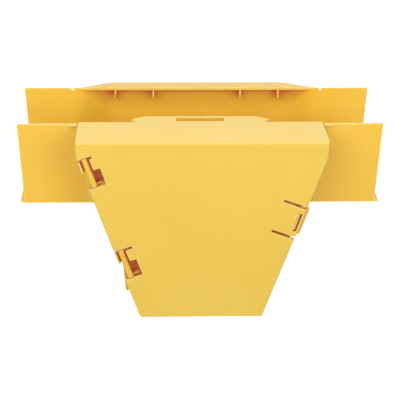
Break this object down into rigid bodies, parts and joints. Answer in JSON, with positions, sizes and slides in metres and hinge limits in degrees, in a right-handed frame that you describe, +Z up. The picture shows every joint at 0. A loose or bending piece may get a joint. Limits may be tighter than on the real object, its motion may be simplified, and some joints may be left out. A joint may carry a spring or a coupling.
{
  "type": "fibre raceway fitting",
  "caption": "Open cable channel fitting that spills over its front wall into a tapered drop chute, closed by a hinged front cover with snap hinges and a latch tongue.",
  "frame": {"origin": "on the underside of the channel floor, at mid length and mid width", "axes": "+X along the channel, +Y to the back wall, +Z up out of the open top; the drop chute and its cover are on the -Y side"},
  "size_m": [0.471, 0.26, 0.238],
  "materials": {
    "body_plastic": "satin moulded plastic",
    "cover_plastic": "satin moulded plastic"
  },
  "bodies": {
    "body": {"raceway_body": "body_plastic"},
    "cover": {"front_cover": "cover_plastic"}
  },
  "joints": [
    {"name": "cover_hinge", "type": "hinge", "parent": "body", "child": "cover", "pos_m": [-0.11895, -0.152, 0.00738], "axis": [0.3405, 0, -0.9402], "range_deg": [0, 110]}
  ]
}
